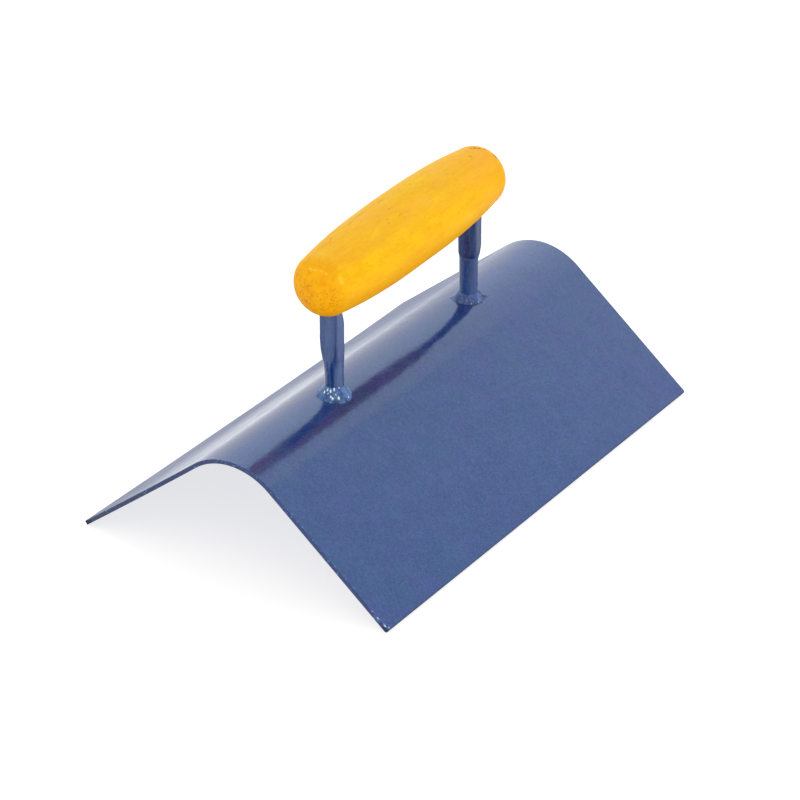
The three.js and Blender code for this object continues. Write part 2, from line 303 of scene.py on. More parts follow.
def front_look(deg, z, length):
    low = 1 - float(smooth((z - 12.0) / 7.0))
    face = 0.70 * bell(deg, 185, 40) * (1 - low)                              # flat face towards -X: painted reflection, lighter
    side = 0.85 * bell(deg, 248, 32) * low                                    # pale strip near the foot: painted sheen
    wob = 2.0 * noise.noise(Vector((z * 0.35, 1.0, 0.0)))
    # a thin light line up the round part: painted highlight
    ridge = 1.0 * bell(deg, 187.5 + wob, 5.5) * low
    # dark streaks up the round part: painted dark reflections
    streak = bell(deg, 173 + wob, 7) * (1 - float(smooth((z - 15.5) / 3.0)))
    streak = max(streak, bell(deg, 203 + 1.2 * wob, 8) * (1 - float(smooth((z - 17.0) / 8.0))))
    nick = math.exp(-((deg - 163) / 9) ** 2 - ((z - 15.4 - abs(deg - 163) * 0.07) / 0.5) ** 2)
    seam = bell(deg, 228, 9) * 0.35 * (1 - low)
    belt = 0.8 * bell(deg, 243, 44) * math.exp(-((z - 18.6) / 1.3) ** 2)
    return min(1, max(face, side, ridge)), min(1, max(streak, nick, seam, belt))


def rear_look(deg, z, length):
    up = float(smooth((z - 21.9) / 1.1))
    # above the shoulder: the pale -Y facet is a painted reflection, and the dark -X face is painted shade and dark
    # reflection under the handle
    facet = bell(deg, 279, 29) * up
    face = bell(deg, 196, 58) * up
    # a light line along the forging lip and a softer light band below it: painted highlights
    lip_highlight = 0.95 * bell(deg, 190, 24) * math.exp(-((z - 21.7) / 0.45) ** 2)
    under_lip_highlight = 0.5 * bell(deg, 215, 40) * math.exp(-((z - 19.4) / 1.1) ** 2)
    # a pale strip on the round part: painted sheen
    sheen_strip = 0.30 * bell(deg, 246, 18) * (1 - up)
    crack = bell(deg, 246, 7) * up
    return min(1, max(facet, lip_highlight, under_lip_highlight, sheen_strip)), min(1, max(face * (1 - 0.8 * facet), crack))


# ------------------------------------------------------------------ weld beads
def make_weld(name, post, seed, height, feet, sparks, shades, grain):
    """A hand-run fillet round the foot of a post. feet gives the reach of the bead by angle in degrees; sparks are
    small raised beads coloured with a painted glint, and shades are shallow creases darkened with painted shade, both
    as (angle, place from foot 0 to post 1, size)."""
    n, m = 240, 44
    rp = POST_R - 0.25
    cx, cy = post["x"], POST_Y
    degs = np.array([d for d, _ in feet], float)
    size = np.array([v for _, v in feet], float)
    verts, glint, shade = [], [], []
    spots = []
    for deg, t, grow in sparks:
        a = math.radians(deg)
        foot = float(np.interp(deg, degs, size, period=360))
        rho = foot + (rp - foot) * t
        spots.append((cx + rho * math.cos(a), cy + rho * math.sin(a), grow))
    for j in range(m + 1):
        t = j / m                                    # 0 at the foot, 1 at the post
        for i in range(n):
            deg = 360 * i / n
            a = math.radians(deg)
            foot = float(np.interp(deg, degs, size, period=360))
            foot += 0.22 * fbm((math.cos(a) * 5, math.sin(a) * 5, 0), 0.5, 3, seed)
            high = height + 0.5 * fbm((math.cos(a) * 2.4, math.sin(a) * 2.4, 9), 0.5, 2, seed + 3)
            rho = foot + (rp - foot) * t
            x, y = cx + rho * math.cos(a), cy + rho * math.sin(a)
            edge = 0.3 * (1 - math.exp(-t / 0.045))
            body = (high - 0.3) * t ** 1.85
            fade = math.sin(math.pi * min(1, 0.03 + t * 0.94)) ** 0.6
            lump = 1.25 * grain * fbm((x, y, 4 + t), 0.5, 3, seed + 8) * fade
            pip = 0.45 * grain * fbm((x, y, t), 1.9, 2, seed + 2) * fade
            # the bead went on in overlapping drops: shallow radial folds
            fold = 0.03 * math.sin(math.radians(deg) * 17 + 3.0 * fbm((x, y, 1), 0.3, 2, seed + 5)) * fade
            h = edge + body + lump + pip + fold - 0.08
            bright = dim = 0.0
            for sx, sy, grow in spots:
                d2 = (x - sx) ** 2 + (y - sy) ** 2
                if d2 < 4:
                    h += 0.30 * grow * math.exp(-d2 / (0.36 * grow) ** 2)
                    bright = max(bright, math.exp(-d2 / (0.42 * grow) ** 2))
            for sd, st, wide in shades:
                d = (deg - sd + 180) % 360 - 180
                dim = max(dim, math.exp(-(d / wide) ** 2) * float(smooth(1 - abs(t - st) / 0.5)))
            h -= 0.15 * dim * fade
            verts.append((x, y, RIDGE_Z - ridge_drop(y) + max(h, -0.08)))
            glint.append(bright)
            shade.append(dim)
    for rho, dz in ((rp - 0.5, 0.0), (rp - 0.5, 1.0)):    # inner wall, then the underside
        for i in range(n):
            a = 2 * math.pi * i / n
            x, y = cx + rho * math.cos(a), cy + rho * math.sin(a)
            z = verts[m * n + i][2] - 0.2 if dz == 0 else RIDGE_Z - ridge_drop(y) - 0.35
            verts.append((x, y, z))
            glint.append(0.0)
            shade.append(0.0)
    for i in range(n):                                # outer edge of the underside
        x, y, z = verts[i]
        k = 0.985
        verts.append((cx + (x - cx) * k, cy + (y - cy) * k, RIDGE_Z - ridge_drop(cy + (y - cy) * k) - 0.35))
        glint.append(0.0)
        shade.append(0.0)
    faces = []
    for j in range(m + 3):
        faces += ring_faces(j * n, (j + 1) * n, n)
    faces += ring_faces((m + 3) * n, 0, n)
    return new_object(name, verts, faces, {"glint": glint, "shade": shade})


# ------------------------------------------------------------------ handle
def handle_profile():
    pts = []
    rim_r = H_SH - H_END + H_END * math.sin(H_ANG)
    rim_x = H_SHX + H_END * math.cos(H_ANG)
    dome = rim_r / math.sin(H_ANG)
    for a in np.linspace(0, H_ANG, 10)[1:]:
        pts.append((dome * math.sin(a), rim_x + dome * (math.cos(a) - math.cos(H_ANG))))
    for a in np.linspace(H_ANG, math.pi / 2, 26)[1:]:
        pts.append((H_SH - H_END + H_END * math.sin(a), H_SHX + H_END * math.cos(a)))
    for s in np.linspace(H_SHX, 0, 46)[1:]:
        pts.append((barrel(s), s))
    pole = rim_x + dome * (1 - math.cos(H_ANG))
    return pole, pts + [(r, -s) for r, s in pts[:-1][::-1]]


def make_handle():
    pole, prof = handle_profile()
    n = 144
    c, s = math.cos(PITCH), math.sin(PITCH)
    verts, faces, end = [], [], []

    def put(u, y, z):
        verts.append((HX + u * c - z * s, HY + y, HZ + u * s + z * c))

    put(pole, 0, 0)
    end.append(1.0)
    for r, u in prof:
        for i in range(n):
            a = 2 * math.pi * i / n
            wob = 0.10 * fbm((u, math.cos(a) * 14, math.sin(a) * 14), 0.035, 2, 3.0)
            wob += 0.03 * fbm((u, math.cos(a) * 16, math.sin(a) * 16), 0.16, 2, 9.0)
            rr = r + wob * min(1, r / 8)
            put(u, rr * math.cos(a), rr * math.sin(a))
            end.append(float(smooth((abs(u) - H_SHX - 2.5) / 6.0)))
    put(-pole, 0, 0)
    end.append(1.0)
    rows = len(prof)
    for i in range(n):
        faces.append((0, 1 + i, 1 + (i + 1) % n))
    for k in range(rows - 1):
        faces += ring_faces(1 + k * n, 1 + (k + 1) * n, n)
    last = len(verts) - 1
    for i in range(n):
        faces.append((last, 1 + (rows - 1) * n + (i + 1) % n, 1 + (rows - 1) * n + i))
    ob = new_object("handle_grip", verts, faces, {"endgrain": end})
    for post in (FRONT, REAR):
        low, high = underside(post["x"]) - 6, underside(post["x"]) + TANG + 2
        bm = bmesh.new()
        rings = []
        for r, z in ((BORE_R, low), (BORE_R, high - 2)):
            rings.append([bm.verts.new(((post["x"] + r * math.cos(a)) * MM, (POST_Y + r * math.sin(a)) * MM, z * MM))
                          for a in np.linspace(0, 2 * math.pi, 65)[:-1]])
        tip = bm.verts.new((post["x"] * MM, POST_Y * MM, high * MM))
        bm.faces.new(rings[0][::-1])
        for i in range(64):
            j = (i + 1) % 64
            bm.faces.new((rings[0][i], rings[0][j], rings[1][j], rings[1][i]))
            bm.faces.new((rings[1][i], rings[1][j], tip))
        me = bpy.data.meshes.new("bore_tool")
        bmesh.ops.recalc_face_normals(bm, faces=bm.faces)
        bm.to_mesh(me)
        bm.free()
        tool = bpy.data.objects.new("bore_tool", me)
        bpy.context.scene.collection.objects.link(tool)
        mod = ob.modifiers.new("bore", "BOOLEAN")
        mod.operation, mod.solver, mod.object = "DIFFERENCE", "EXACT", tool
        bpy.context.view_layer.update()
        deps = bpy.context.evaluated_depsgraph_get()
        cut = bpy.data.meshes.new_from_object(ob.evaluated_get(deps))
        ob.modifiers.clear()
        old = ob.data
        ob.data = cut
        bpy.data.meshes.remove(old)
        bpy.data.objects.remove(tool)
        bpy.data.meshes.remove(me)
    ob.data.name = "handle_grip"
    ob.data.shade_smooth()
    ob.data.set_sharp_from_angle(angle=math.radians(40))
    return ob


# ------------------------------------------------------------------ materials
class Nodes:
    """Small helper over one material's node tree."""

    def __init__(self, name):
        self.mat = bpy.data.materials.new(name)
        self.mat.use_nodes = True
        self.tree = self.mat.node_tree
        self.bsdf = self.tree.nodes["Principled BSDF"]
        self.coord = self.tree.nodes.new("ShaderNodeTexCoord").outputs["Object"]

    def node(self, kind, **inputs):
        nd = self.tree.nodes.new(kind)
        for key, value in inputs.items():
            if hasattr(nd, key) and not isinstance(getattr(nd, key), bpy.types.bpy_prop_collection):
                try:
                    setattr(nd, key, value)
                    continue
                except (AttributeError, TypeError):
                    pass
        return nd

    def link(self, a, b):
        self.tree.links.new(a, b)

    def noise(self, scale, detail=3.0, rough=0.55, stretch=None, lac=2.0):
        src = self.coord
        if stretch:
            mp = self.tree.nodes.new("ShaderNodeMapping")
            mp.inputs["Scale"].default_value = stretch
            self.link(src, mp.inputs["Vector"])
            src = mp.outputs["Vector"]
        nd = self.tree.nodes.new("ShaderNodeTexNoise")
        nd.inputs["Scale"].default_value = scale
        nd.inputs["Detail"].default_value = detail
        nd.inputs["Roughness"].default_value = rough
        nd.inputs["Lacunarity"].default_value = lac
        self.link(src, nd.inputs["Vector"])
        return nd.outputs["Fac"]

    def voronoi(self, scale, stretch=None, randomness=1.0):
        src = self.coord
        if stretch:
            mp = self.tree.nodes.new("ShaderNodeMapping")
            mp.inputs["Scale"].default_value = stretch
            self.link(src, mp.inputs["Vector"])
            src = mp.outputs["Vector"]
        nd = self.tree.nodes.new("ShaderNodeTexVoronoi")
        nd.inputs["Scale"].default_value = scale
        nd.inputs["Randomness"].default_value = randomness
        self.link(src, nd.inputs["Vector"])
        return nd

    def ramp(self, fac, stops, mode="LINEAR"):
        nd = self.tree.nodes.new("ShaderNodeValToRGB")
        nd.color_ramp.interpolation = mode
        el = nd.color_ramp.elements
        while len(el) < len(stops):
            el.new(0.5)
        for e, (pos, col) in zip(el, stops):
            e.position = pos
            e.color = (*col, 1) if isinstance(col, (tuple, list)) else (col, col, col, 1)
        self.link(fac, nd.inputs["Fac"])
        return nd.outputs["Color"]

    def mix(self, fac, a, b, blend="MIX"):
        nd = self.tree.nodes.new("ShaderNodeMix")
        nd.data_type, nd.blend_type = "RGBA", blend
        for sock, value in ((nd.inputs[0], fac), (nd.inputs[6], a), (nd.inputs[7], b)):
            if isinstance(value, bpy.types.NodeSocket):
                self.link(value, sock)
            elif isinstance(value, (tuple, list)):
                sock.default_value = (*value, 1)
            else:
                sock.default_value = value
        return nd.outputs[2]

    def math(self, op, a, b=0.0, clamp=False):
        nd = self.tree.nodes.new("ShaderNodeMath")
        nd.operation, nd.use_clamp = op, clamp
        for sock, value in ((nd.inputs[0], a), (nd.inputs[1], b)):
            if isinstance(value, bpy.types.NodeSocket):
                self.link(value, sock)
            else:
                sock.default_value = value
        return nd.outputs[0]

    def attr(self, name):
        nd = self.tree.nodes.new("ShaderNodeAttribute")
        nd.attribute_name = name
        return nd.outputs["Fac"]

    def axis(self, which):
        nd = self.tree.nodes.new("ShaderNodeSeparateXYZ")
        self.link(self.coord, nd.inputs[0])
        return nd.outputs[which]

    def span(self, value, lo, hi, a=0.0, b=1.0):
        nd = self.tree.nodes.new("ShaderNodeMapRange")
        nd.clamp = True
        self.link(value, nd.inputs["Value"])
        nd.inputs["From Min"].default_value = lo
        nd.inputs["From Max"].default_value = hi
        nd.inputs["To Min"].default_value = a
        nd.inputs["To Max"].default_value = b
        return nd.outputs["Result"]

    def bump(self, height, strength, distance, normal=None):
        nd = self.tree.nodes.new("ShaderNodeBump")
        nd.inputs["Strength"].default_value = strength
        nd.inputs["Distance"].default_value = distance
        self.link(height, nd.inputs["Height"])
        if normal is not None:
            self.link(normal, nd.inputs["Normal"])
        return nd.outputs["Normal"]

    def marks(self, places, outer=1.25, inner=0.55):
        """Soft ellipsoids at fixed places: (middle in mm, half sizes in mm, strength)."""
        total = None
        for place, half, strength in places:
            shift = self.tree.nodes.new("ShaderNodeVectorMath")
            shift.operation = "SUBTRACT"
            self.link(self.coord, shift.inputs[0])
            shift.inputs[1].default_value = tuple(v * MM for v in place)
            grow = self.tree.nodes.new("ShaderNodeVectorMath")
            grow.operation = "MULTIPLY"
            grow.inputs[1].default_value = tuple(1 / (v * MM) for v in half)
            self.link(shift.outputs[0], grow.inputs[0])
            size = self.tree.nodes.new("ShaderNodeVectorMath")
            size.operation = "LENGTH"
            self.link(grow.outputs[0], size.inputs[0])
            one = self.span(size.outputs["Value"], outer, inner, 0.0, strength)
            total = one if total is None else self.math("MAXIMUM", total, one)
        return total

    def out(self, **sockets):
        names = {"color": "Base Color", "rough": "Roughness", "metal": "Metallic", "normal": "Normal",
                 "coat": "Coat Weight", "coat_rough": "Coat Roughness", "ior": "IOR", "spec": "Specular IOR Level",
                 "coat_normal": "Coat Normal", "coat_ior": "Coat IOR"}
        for key, value in sockets.items():
            sock = self.bsdf.inputs[names[key]]
            if isinstance(value, bpy.types.NodeSocket):
                self.link(value, sock)
            elif isinstance(value, (tuple, list)):
                sock.default_value = (*value, 1)
            else:
                sock.default_value = value
        return self.mat


def blue_paint(name, kind):
    n = Nodes(name)
    big = n.noise(14, 3, 0.55)
    mid = n.noise(95, 4, 0.6)
    fine = n.noise(1150, 2, 0.7)
    grain = n.noise(520, 3, 0.65)
    speck = n.voronoi(520).outputs["Distance"]
    base = n.ramp(big, [(0.3, (0.0155, 0.036, 0.156)), (0.5, (0.0165, 0.038, 0.166)), (0.72, (0.0195, 0.042, 0.178))])
    if kind == "blade":
        # painted light: the colour runs a little greener towards -X and greyer towards +X, standing in for the light
        # changing along the blade
        along = n.span(n.axis("X"), -0.125, 0.125)
        tone = n.ramp(along, [(0.0, (0.0130, 0.043, 0.158)), (0.5, (0.0135, 0.036, 0.174)), (1.0, (0.0240, 0.043, 0.166))])
        base = n.mix(0.6, base, tone)
        # broad teal and violet drifts in the lacquer, a few centimetres across
        drift = n.noise(38, 2, 0.5)
        base = n.mix(n.span(drift, 0.52, 0.66, 0.0, 0.45), base, (0.010, 0.060, 0.165))
        base = n.mix(n.span(drift, 0.47, 0.34, 0.0, 0.45), base, (0.030, 0.028, 0.200))
        patch = n.noise(130, 2, 0.5)
        base = n.mix(n.span(patch, 0.53, 0.66, 0.0, 0.40), base, (0.008, 0.062, 0.160))
        base = n.mix(n.span(patch, 0.46, 0.34, 0.0, 0.40), base, (0.030, 0.024, 0.205))
    # mottling: orange-peel grains a millimetre or two across, lighter and darker
    base = n.mix(n.span(mid, 0.50, 0.75, 0.0, 0.55), base, (0.030, 0.062, 0.225))
    base = n.mix(n.span(mid, 0.48, 0.28, 0.0, 0.45), base, (0.009, 0.028, 0.140))
    base = n.mix(n.span(grain, 0.50, 0.68, 0.0, 0.42), base, (0.034, 0.066, 0.235))
    base = n.mix(n.span(grain, 0.49, 0.34, 0.0, 0.42), base, (0.006, 0.022, 0.122))
    base = n.mix(n.span(fine, 0.50, 0.66, 0.0, 0.52), base, (0.040, 0.074, 0.250))
    base = n.mix(n.span(fine, 0.49, 0.34, 0.0, 0.52), base, (0.004, 0.018, 0.112))
    # grains of pigment and dust that stand lighter in the lacquer
    dust = n.math("MULTIPLY", n.span(speck, 0.10, 0.045), n.span(n.noise(70, 2), 0.56, 0.70))
    base = n.mix(n.math("MULTIPLY", dust, 0.55), base, (0.22, 0.30, 0.47))
    rough = n.span(mid, 0.3, 0.7, 0.13, 0.20)
    metal = 0.0
    spec = 0.5
    height = n.math("ADD", n.math("MULTIPLY", n.noise(620, 2, 0.5), 0.7), n.math("MULTIPLY", fine, 0.3))
    normal = n.bump(height, 0.22, 0.00024)
    normal = n.bump(n.noise(85, 2, 0.5), 0.16, 0.0009, normal)
    if kind == "blade":
        # the +Y wing is duller than the rest, as if wiped with cement dust
        rough = n.math("ADD", rough, n.span(n.axis("Y"), 0.0195, 0.034, 0.0, 0.05))
        worn_end = n.math("MULTIPLY", n.span(n.axis("Y"), 0.006, 0.024, 0.0, 0.17), n.span(n.axis("X"), -0.030, 0.085))
        worn_end = n.math("MULTIPLY", worn_end, n.span(n.axis("Y"), 0.040, 0.062, 1.0, 0.15))
        rough = n.math("ADD", rough, worn_end)
        rough = n.math("ADD", rough, n.math("MULTIPLY", n.span(n.axis("Y"), 0.038, 0.062, 0.0, 0.20), n.span(n.noise(40, 2), 0.3, 0.7, 0.8, 1.1)))
        # a greyish film low on the +Y wing: partly dust, partly a painted grey sheen of the grazing reflection there
        film_and_sheen = n.math("MULTIPLY", n.span(n.axis("Y"), 0.036, 0.060, 0.0, 0.30), n.span(n.noise(60, 3), 0.3, 0.7, 0.7, 1.0))
        base = n.mix(film_and_sheen, base, (0.050, 0.060, 0.105))
        rim = n.attr("rim")
        cut = n.attr("cut")
        # the sheared edges: deep blue with a dull, thinner coat, and bright chips near the -X corners only
        navy = n.mix(n.span(n.axis("Y"), -0.020, 0.004), (0.012, 0.030, 0.150), (0.016, 0.020, 0.100))
        navy = n.mix(n.span(n.axis("Y"), 0.040, 0.066), navy, (0.040, 0.046, 0.085))
        base = n.mix(n.math("MULTIPLY", cut, 0.85), base, navy)
        rough = n.math("ADD", rough, n.math("MULTIPLY", cut, 0.35))
        chip = n.marks([((-124.7, -74.6, 6.1), (0.45, 0.8, 0.7), 0.9), ((-124.4, -77.9, 3.4), (0.5, 1.0, 0.8), 0.95),
                        ((-124.6, -71.5, 8.4), (0.35, 0.4, 0.35), 0.7), ((-123.2, -79.0, 2.2), (0.5, 0.4, 0.4), 0.6)])
        chip = n.math("MULTIPLY", chip, n.span(n.noise(1500, 3, 0.6), 0.38, 0.55, 0.15, 1.0))
        # small teal flecks where the coat is thin along the whole -X arris
        fleck = n.math("MULTIPLY", n.span(n.noise(900, 2, 0.6), 0.60, 0.68), n.span(rim, 0.03, 0.30))
        fleck = n.math("MULTIPLY", fleck, n.span(n.axis("X"), -0.1195, -0.1235))
        base = n.mix(n.math("MULTIPLY", fleck, 0.55), base, (0.07, 0.30, 0.50))
        base = n.mix(chip, base, (0.50, 0.62, 0.78))
        metal = n.math("MULTIPLY", chip, 0.4)
        # painted shade: a dark line along the long lower edge, in the last few millimetres above the floor
        painted_edge_shade = n.math("MULTIPLY", n.span(rim, 0.35, 0.85), n.span(n.axis("Z"), 0.004, 0.0022))
        painted_edge_shade = n.math("MULTIPLY", painted_edge_shade, n.math("SUBTRACT", 1.0, chip))
        base = n.mix(n.math("MULTIPLY", painted_edge_shade, 0.8), base, (0.012, 0.012, 0.050))
        rough = n.math("ADD", rough, n.math("MULTIPLY", painted_edge_shade, 0.35))
        normal = n.bump(n.math("SUBTRACT", 1.0, chip), 0.35, 0.00012, normal)
    if kind in ("front_weld", "rear_weld"):
        tone = n.noise(330, 4, 0.7)
        if kind == "front_weld":
            base = n.ramp(tone, [(0.28, (0.006, 0.042, 0.21)), (0.45, (0.024, 0.098, 0.32)), (0.60, (0.062, 0.172, 0.42)), (0.74, (0.19, 0.35, 0.56))])
            glint_colour = (0.80, 0.97, 1.0)
        else:
            base = n.ramp(tone, [(0.28, (0.006, 0.024, 0.14)), (0.45, (0.020, 0.060, 0.26)), (0.60, (0.050, 0.115, 0.34)), (0.74, (0.11, 0.19, 0.36))])
            glint_colour = (0.42, 0.60, 0.72)
        glint = n.attr("glint")
        shade = n.attr("shade")
        worn = n.math("MULTIPLY", n.span(n.noise(1100, 3, 0.6), 0.60, 0.68), n.span(n.noise(240, 2), 0.48, 0.60))
        base = n.mix(n.math("MULTIPLY", worn, 0.6), base, (0.40, 0.60, 0.74))
        # painted glints on the small raised beads
        base = n.mix(n.span(glint, 0.35, 0.7), base, glint_colour)
        # painted shade in the shallow creases and along the foot
        base = n.mix(n.math("MULTIPLY", shade, 0.88), base, (0.003, 0.006, 0.032))
        rough = n.span(n.noise(300, 3), 0.3, 0.7, 0.22, 0.42)
        rough = n.math("ADD", rough, n.math("MULTIPLY", shade, 0.3))
        normal = n.bump(n.noise(480, 4, 0.65), 0.55, 0.0006, normal)
    if kind in ("front", "rear"):
        forged = n.attr("forged")
        light = n.attr("light")
        dark = n.attr("dark")
        scale = n.noise(170, 4, 0.62, stretch=(1, 1, 0.35))
        draw = n.noise(520, 3, 0.6, stretch=(1, 1, 0.10))
        if kind == "front":
            base = n.mix(0.62, base, (0.017, 0.058, 0.225))
            # painted highlights, sheen and reflection where the light amount is set; painted dark reflections and a few
            # marks where the dark amount is set
            base = n.mix(n.math("MULTIPLY", light, n.span(scale, 0.25, 0.65, 0.70, 1.0)), base, (0.050, 0.110, 0.305))
            base = n.mix(n.math("MULTIPLY", dark, n.span(draw, 0.2, 0.6, 0.75, 1.0)), base, (0.001, 0.022, 0.155))
        else:
            spec = 0.27
            base = n.mix(0.7, base, (0.026, 0.072, 0.245))
            # painted highlights, sheen and reflection where the light amount is set; painted shade and dark reflection
            # on the -X face, and a thin dark arris line, where the dark amount is set
            base = n.mix(light, base, (0.062, 0.078, 0.155))
            base = n.mix(n.math("MULTIPLY", dark, 0.95), base, (0.003, 0.004, 0.095))
        normal = n.bump(n.math("MULTIPLY", scale, forged), 0.25, 0.0007, normal)
        normal = n.bump(draw, 0.12, 0.0003, normal)
        base = n.mix(n.span(scale, 0.50, 0.70, 0.0, 0.45), base, (0.006, 0.026, 0.120))
        base = n.mix(n.span(scale, 0.46, 0.30, 0.0, 0.40), base, (0.020, 0.105, 0.260))
        base = n.mix(n.span(draw, 0.52, 0.68, 0.0, 0.40), base, (0.060, 0.110, 0.300))
        base = n.mix(n.span(n.noise(900, 3, 0.7), 0.55, 0.70, 0.0, 0.45), base, (0.075, 0.120, 0.290))
    return n.out(color=base, rough=rough, metal=metal, normal=normal, coat=0.0, ior=1.5, spec=spec)


# dark marks on the handle: middle (mm), half size (mm), strength
HANDLE_MARKS = [((52.3, -5.1, 131.9), (0.8, 0.5, 0.8), 0.6), ((51.2, -6.6, 131.6), (0.5, 0.35, 0.6), 0.5),
                ((53.4, -6.0, 131.5), (0.5, 0.3, 0.5), 0.45), ((-8.7, 3.0, 132.8), (3.0, 0.9, 0.9), 0.6),
                ((-24.0, 3.6, 131.6), (6.0, 0.6, 0.9), 0.45), ((-31.0, 2.9, 131.0), (2.2, 0.5, 0.9), 0.4),
                ((-19.3, -8.5, 130.9), (1.4, 0.35, 0.8), 0.3), ((-11.5, -10.0, 130.6), (1.2, 0.35, 0.8), 0.3),
                ((-45.5, 3.2, 129.4), (0.9, 0.6, 0.9), 0.5), ((-48.5, 1.6, 129.0), (0.5, 0.4, 0.8), 0.45),
                ((60.2, -0.2, 131.7), (1.2, 0.8, 0.7), 0.8), ((61.6, -1.4, 131.5), (1.1, 0.8, 0.6), 0.85),
                ((62.8, -3.0, 131.2), (0.9, 0.9, 0.55), 0.85), ((64.0, -5.0, 130.6), (0.7, 1.1, 0.6), 0.7),
                ((65.4, -9.9, 128.2), (0.9, 1.5, 1.6), 0.8), ((-39.5, -11.0, 124.5), (0.7, 0.4, 0.6), 0.35),
                ((5.0, -12.0, 129.0), (1.2, 0.3, 0.6), 0.3), ((30.0, -7.0, 132.4), (2.0, 0.3, 0.6), 0.3),
                ((33.0, -8.5, 131.6), (1.6, 0.3, 0.6), 0.3)]

def handle_lacquer():
    n = Nodes("handle_lacquer")
    long_ = n.noise(75, 4, 0.6, stretch=(0.16, 1, 1))
    patch = n.noise(170, 3, 0.6, stretch=(0.42, 1, 1))
    streak = n.noise(430, 3, 0.65, stretch=(0.10, 1, 1))
    fine = n.noise(1000, 2, 0.7, stretch=(0.35, 1, 1))
    cloud = n.noise(30, 3, 0.5)
    base = n.ramp(long_, [(0.25, (0.844, 0.397, 0.0015)), (0.5, (0.888, 0.464, 0.0020)), (0.78, (0.911, 0.529, 0.0035))])
    base = n.mix(n.span(cloud, 0.35, 0.7, 0.0, 0.45), base, (0.883, 0.439, 0.0035))
    base = n.mix(n.span(patch, 0.52, 0.72, 0.0, 0.65), base, (0.930, 0.567, 0.0040))
    base = n.mix(n.span(patch, 0.46, 0.28, 0.0, 0.55), base, (0.830, 0.359, 0.0060))
    base = n.mix(n.span(streak, 0.54, 0.74, 0.0, 0.50), base, (0.783, 0.345, 0.0050))
    base = n.mix(n.span(streak, 0.46, 0.30, 0.0, 0.40), base, (0.940, 0.576, 0.0080))
    base = n.mix(n.span(fine, 0.54, 0.70, 0.0, 0.45), base, (0.764, 0.335, 0.0040))
    base = n.mix(n.span(fine, 0.46, 0.30, 0.0, 0.35), base, (0.945, 0.586, 0.0100))
    # more orange on the end grain at both ends, towards the +X end, and low on the sides, where the deeper orange is
    # painted shade
    end = n.attr("endgrain")
    base = n.mix(n.math("MULTIPLY", end, 0.48), base, (0.905, 0.405, 0.0050))
    far = n.span(n.axis("X"), 0.030, 0.066)
    base = n.mix(n.math("MULTIPLY", far, 0.65), base, (0.869, 0.364, 0.0015))
    # painted shade: deeper orange low on the sides
    low = n.span(n.axis("Z"), 0.1180, 0.1040)
    base = n.mix(n.math("MULTIPLY", low, 0.80), base, (0.874, 0.373, 0.0020))
    # painted sheen: paler and salmon-tinged along the upper back
    top_sheen = n.math("MULTIPLY", n.span(n.axis("Z"), 0.1225, 0.1320), n.span(n.noise(48, 3, 0.6, stretch=(0.5, 1, 1)), 0.42, 0.62))
    base = n.mix(n.math("MULTIPLY", top_sheen, 0.45), base, (0.940, 0.450, 0.055))
    # end grain: open pores, round on the ends and short dashes on the sides
    pore_end = n.voronoi(820).outputs["Distance"]
    crowd = n.span(n.axis("Z"), 0.1240, 0.1120, 0.20, 1.0)
    rings = n.noise(330, 4, 0.65)
    base = n.mix(n.math("MULTIPLY", n.math("MULTIPLY", n.span(rings, 0.48, 0.66), end), 0.75), base, (0.800, 0.290, 0.0030))
    pores = n.math("MULTIPLY", n.span(pore_end, 0.40, 0.18), n.span(n.math("MULTIPLY", n.noise(150, 2), crowd), 0.26, 0.40))
    pores = n.math("MULTIPLY", pores, end)
    side = n.voronoi(600, stretch=(0.30, 1, 1)).outputs["Distance"]
    dash = n.math("MULTIPLY", n.span(side, 0.22, 0.09), n.span(n.noise(60, 3), 0.50, 0.66))
    dash = n.math("MULTIPLY", dash, n.math("SUBTRACT", 1.0, end))
    pit = n.math("MAXIMUM", pores, dash)
    base = n.mix(n.math("MULTIPLY", pit, 0.60), base, (0.47, 0.150, 0.003))
    # dark marks at the listed places, several along the top of the grip and at its far end
    dark_marks = n.marks(HANDLE_MARKS)
    ragged = n.span(n.noise(1300, 3, 0.6), 0.30, 0.62, 0.40, 1.0)
    base = n.mix(n.math("MULTIPLY", dark_marks, ragged), base, (0.20, 0.105, 0.030))
    rough = n.span(n.noise(45, 3), 0.3, 0.7, 0.48, 0.60)
    height = n.math("ADD", n.math("MULTIPLY", streak, 0.5), n.math("MULTIPLY", n.noise(300, 2), 0.5))
    normal = n.bump(height, 0.14, 0.0004)
    normal = n.bump(n.math("SUBTRACT", 1.0, n.math("MAXIMUM", pit, dark_marks)), 0.5, 0.0003, normal)
    return n.out(color=base, rough=rough, normal=normal, spec=0.03, ior=1.45, coat=0.10, coat_rough=0.165, coat_ior=1.5)


def adhesive():
    n = Nodes("adhesive")
    base = n.ramp(n.noise(300, 4), [(0.3, (0.30, 0.22, 0.10)), (0.7, (0.52, 0.42, 0.24))])
    normal = n.bump(n.noise(700, 3), 0.4, 0.0005)
    return n.out(color=base, rough=n.span(n.noise(200, 2), 0.3, 0.7, 0.35, 0.6), normal=normal)


def floor_material():
    """Plain pale floor, evenly lit from within a little, so that it reads as white paper."""
    n = Nodes("pale_floor")
    n.bsdf.inputs["Emission Color"].default_value = (1, 1, 1, 1)
    n.bsdf.inputs["Emission Strength"].default_value = 0.72
    base = n.ramp(n.noise(3, 2), [(0.3, (0.47, 0.47, 0.47)), (0.7, (0.49, 0.49, 0.49))])
    return n.out(color=base, rough=0.9, spec=0.1)


# ------------------------------------------------------------------ build
def dress(ob, material, node):
    ob.data.materials.clear()
    ob.data.materials.append(material)
    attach(ob, "root")
    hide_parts(node)
    return ob


blade_mat = blue_paint("blade_lacquer", "blade")
front_mat = blue_paint("front_post_lacquer", "front")
rear_mat = blue_paint("rear_post_lacquer", "rear")

